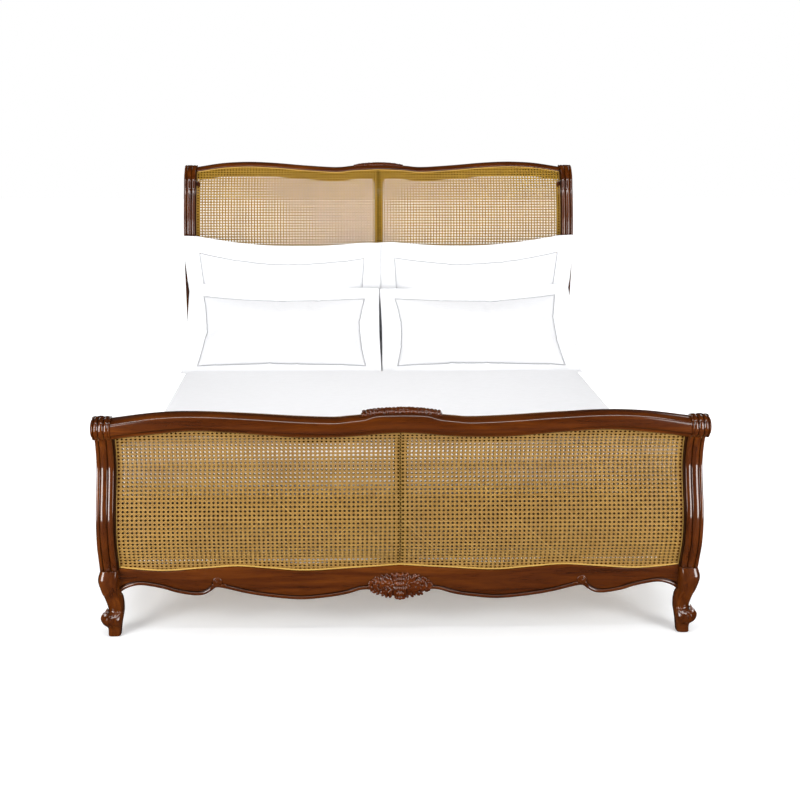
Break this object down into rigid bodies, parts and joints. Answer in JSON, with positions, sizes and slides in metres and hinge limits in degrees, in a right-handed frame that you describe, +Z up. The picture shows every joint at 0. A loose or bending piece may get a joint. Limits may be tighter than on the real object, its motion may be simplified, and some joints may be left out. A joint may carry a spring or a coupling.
{
  "type": "sleigh bed",
  "caption": "King-size sleigh bed with S-curved posts, wavy rolled rails, cabriole legs, double cane head and foot panels, slatted base, mattress and Oxford pillows.",
  "frame": {"origin": "centre of the bounding box on the floor plane", "axes": "+X across the bed to the sleeper's right seen from the foot, -Y towards the footboard, +Y towards the headboard, +Z up"},
  "size_m": [1.724, 2.3, 1.2528],
  "materials": {
    "mahogany": "polished, red-brown with dark grain",
    "cane": "woven split rattan, satin, straw coloured",
    "cane_spline": "pale reed, satin",
    "pale_wood": "planed softwood, unfinished",
    "steel": "zinc-plated",
    "ticking": "white woven cotton",
    "linen": "white cotton percale"
  },
  "bodies": {
    "bed": {"foot_post_left": "mahogany", "foot_post_right": "mahogany", "foot_cap_left": "mahogany", "foot_cap_right": "mahogany", "foot_top_rail": "mahogany", "foot_apron": "mahogany", "foot_stile": "mahogany", "foot_crest_carving": "mahogany", "foot_cane_outer": "cane", "foot_cane_inner": "cane", "foot_splines": "cane_spline", "head_post_left": "mahogany", "head_post_right": "mahogany", "head_cap_left": "mahogany", "head_cap_right": "mahogany", "head_top_rail": "mahogany", "head_apron": "mahogany", "head_stile": "mahogany", "head_crest_carving": "mahogany", "head_cane_outer": "cane", "head_cane_inner": "cane", "head_splines": "cane_spline", "foot_apron_carving": "mahogany", "side_rail_left": "mahogany", "side_rail_right": "mahogany", "ledger_left": "pale_wood", "ledger_right": "pale_wood", "centre_beam": "pale_wood", "support_leg_1": "pale_wood", "support_leg_2": "pale_wood", "cap_dowels": "pale_wood", "slat_1": "pale_wood", "slat_2": "pale_wood", "slat_3": "pale_wood", "slat_4": "pale_wood", "slat_5": "pale_wood", "slat_6": "pale_wood", "slat_7": "pale_wood", "slat_8": "pale_wood", "slat_9": "pale_wood", "slat_10": "pale_wood", "slat_11": "pale_wood", "slat_12": "pale_wood", "slat_13": "pale_wood", "rail_hook_plates": "steel", "post_slot_plates": "steel", "plate_screws": "steel", "ledger_screws": "steel", "shoe_screws": "steel", "beam_shoe_foot": "steel", "beam_shoe_head": "steel", "mattress": "ticking", "bed_cover": "linen", "pillow_back_left": "linen", "pillow_back_right": "linen", "pillow_front_left": "linen", "pillow_front_right": "linen"},
    "levelling_foot_1": {"levelling_foot_1": "steel"},
    "levelling_foot_2": {"levelling_foot_2": "steel"}
  },
  "joints": [
    {"name": "levelling_foot_1_travel", "type": "slide", "parent": "bed", "child": "levelling_foot_1", "axis": [0, 0, 1], "range_m": [0, 0.012]},
    {"name": "levelling_foot_2_travel", "type": "slide", "parent": "bed", "child": "levelling_foot_2", "axis": [0, 0, 1], "range_m": [0, 0.012]}
  ]
}
